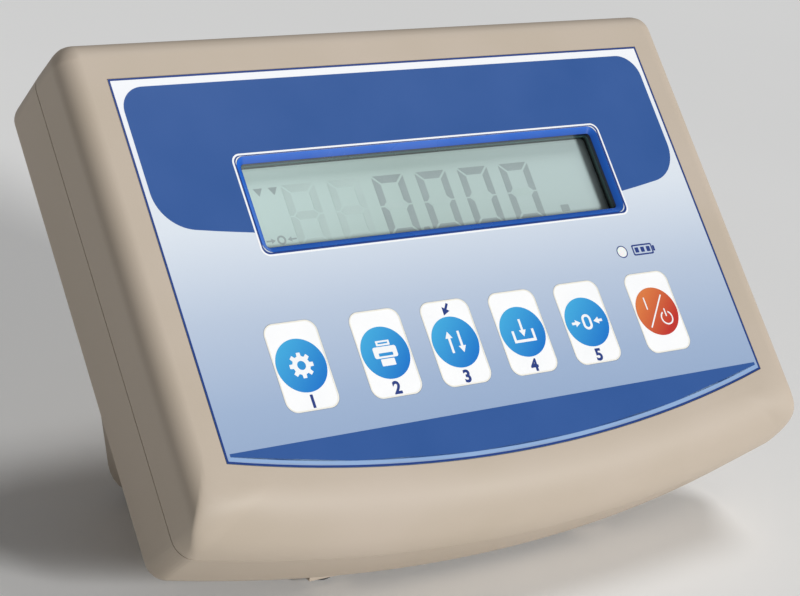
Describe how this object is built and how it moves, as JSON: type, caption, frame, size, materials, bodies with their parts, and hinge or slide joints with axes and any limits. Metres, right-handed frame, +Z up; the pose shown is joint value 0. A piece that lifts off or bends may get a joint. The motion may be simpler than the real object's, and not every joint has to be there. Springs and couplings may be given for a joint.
{
  "type": "weighing indicator",
  "caption": "Desk indicator for a weighing scale: putty case on a battery hump, blue film front with a recessed display and a row of press keys.",
  "frame": {"origin": "on the desk below the middle of the whole, feet at z = 0", "axes": "+X to the right of a person who reads the display, +Y away from them, +Z up"},
  "size_m": [0.2264, 0.145, 0.1451],
  "materials": {
    "moulded_case": "satin moulded",
    "printed_film": "printed polyester film",
    "white_key_film": "printed polyester film",
    "blue_bezel": "gloss moulded",
    "clear_lens": "clear moulded",
    "display_glass": "polarised glass",
    "white_plastic": "moulded",
    "black_plastic": "moulded",
    "circuit_board": "solder mask",
    "tinned_steel": "tin plated",
    "zinc_steel": "zinc plated",
    "nickel_shell": "nickel plated",
    "brass": "turned",
    "black_aluminium": "black anodised",
    "capacitor_sleeve": "shrunk sleeve",
    "red_lens": "tinted epoxy",
    "battery_case": "moulded",
    "foam": "closed cell foam",
    "foot_rubber": "moulded rubber",
    "grey_ribbon": "ribbon insulation"
  },
  "bodies": {
    "root": {"front_housing": "moulded_case", "rear_housing": "moulded_case", "front_overlay": "printed_film", "window_bezel": "blue_bezel", "window_lens": "clear_lens", "lcd_glass": "display_glass", "lcd_backlight": "white_plastic", "lcd_contacts": "tinned_steel", "main_board": "circuit_board", "microcontroller": "black_plastic", "converter_shield": "tinned_steel", "crystal": "tinned_steel", "capacitors": "capacitor_sleeve", "voltage_regulator": "black_plastic", "heat_sink": "black_aluminium", "buzzer": "black_plastic", "switch_bodies": "black_plastic", "charge_led": "red_lens", "light_pipe": "white_plastic", "board_screws": "zinc_steel", "case_screws": "zinc_steel", "battery": "battery_case", "battery_terminals": "tinned_steel", "battery_pad": "foam", "battery_door": "moulded_case", "door_screws": "zinc_steel", "rubber_feet": "foot_rubber", "bracket_inserts": "brass", "rear_board": "circuit_board", "serial_connector": "nickel_shell", "serial_jackscrews": "nickel_shell", "load_cell_socket": "nickel_shell", "socket_nut": "nickel_shell", "supply_jack": "black_plastic", "jack_nut": "nickel_shell", "board_link": "grey_ribbon"},
    "set_button": {"set_key": "white_key_film", "set_stem": "white_plastic"},
    "print_button": {"print_key": "white_key_film", "print_stem": "white_plastic"},
    "net_button": {"net_key": "white_key_film", "net_stem": "white_plastic"},
    "tare_button": {"tare_key": "white_key_film", "tare_stem": "white_plastic"},
    "zero_button": {"zero_key": "white_key_film", "zero_stem": "white_plastic"},
    "power_button": {"power_key": "white_key_film", "power_stem": "white_plastic"}
  },
  "joints": [
    {"name": "set_press", "type": "slide", "parent": "root", "child": "set_button", "axis": [0, 0.682, -0.7314], "range_m": [0, 0.00035], "stiffness_N_per_m": 3000},
    {"name": "print_press", "type": "slide", "parent": "root", "child": "print_button", "axis": [0, 0.682, -0.7314], "range_m": [0, 0.00035], "stiffness_N_per_m": 3000},
    {"name": "net_press", "type": "slide", "parent": "root", "child": "net_button", "axis": [0, 0.682, -0.7314], "range_m": [0, 0.00035], "stiffness_N_per_m": 3000},
    {"name": "tare_press", "type": "slide", "parent": "root", "child": "tare_button", "axis": [0, 0.682, -0.7314], "range_m": [0, 0.00035], "stiffness_N_per_m": 3000},
    {"name": "zero_press", "type": "slide", "parent": "root", "child": "zero_button", "axis": [0, 0.682, -0.7314], "range_m": [0, 0.00035], "stiffness_N_per_m": 3000},
    {"name": "power_press", "type": "slide", "parent": "root", "child": "power_button", "axis": [0, 0.682, -0.7314], "range_m": [0, 0.00035], "stiffness_N_per_m": 3000}
  ]
}
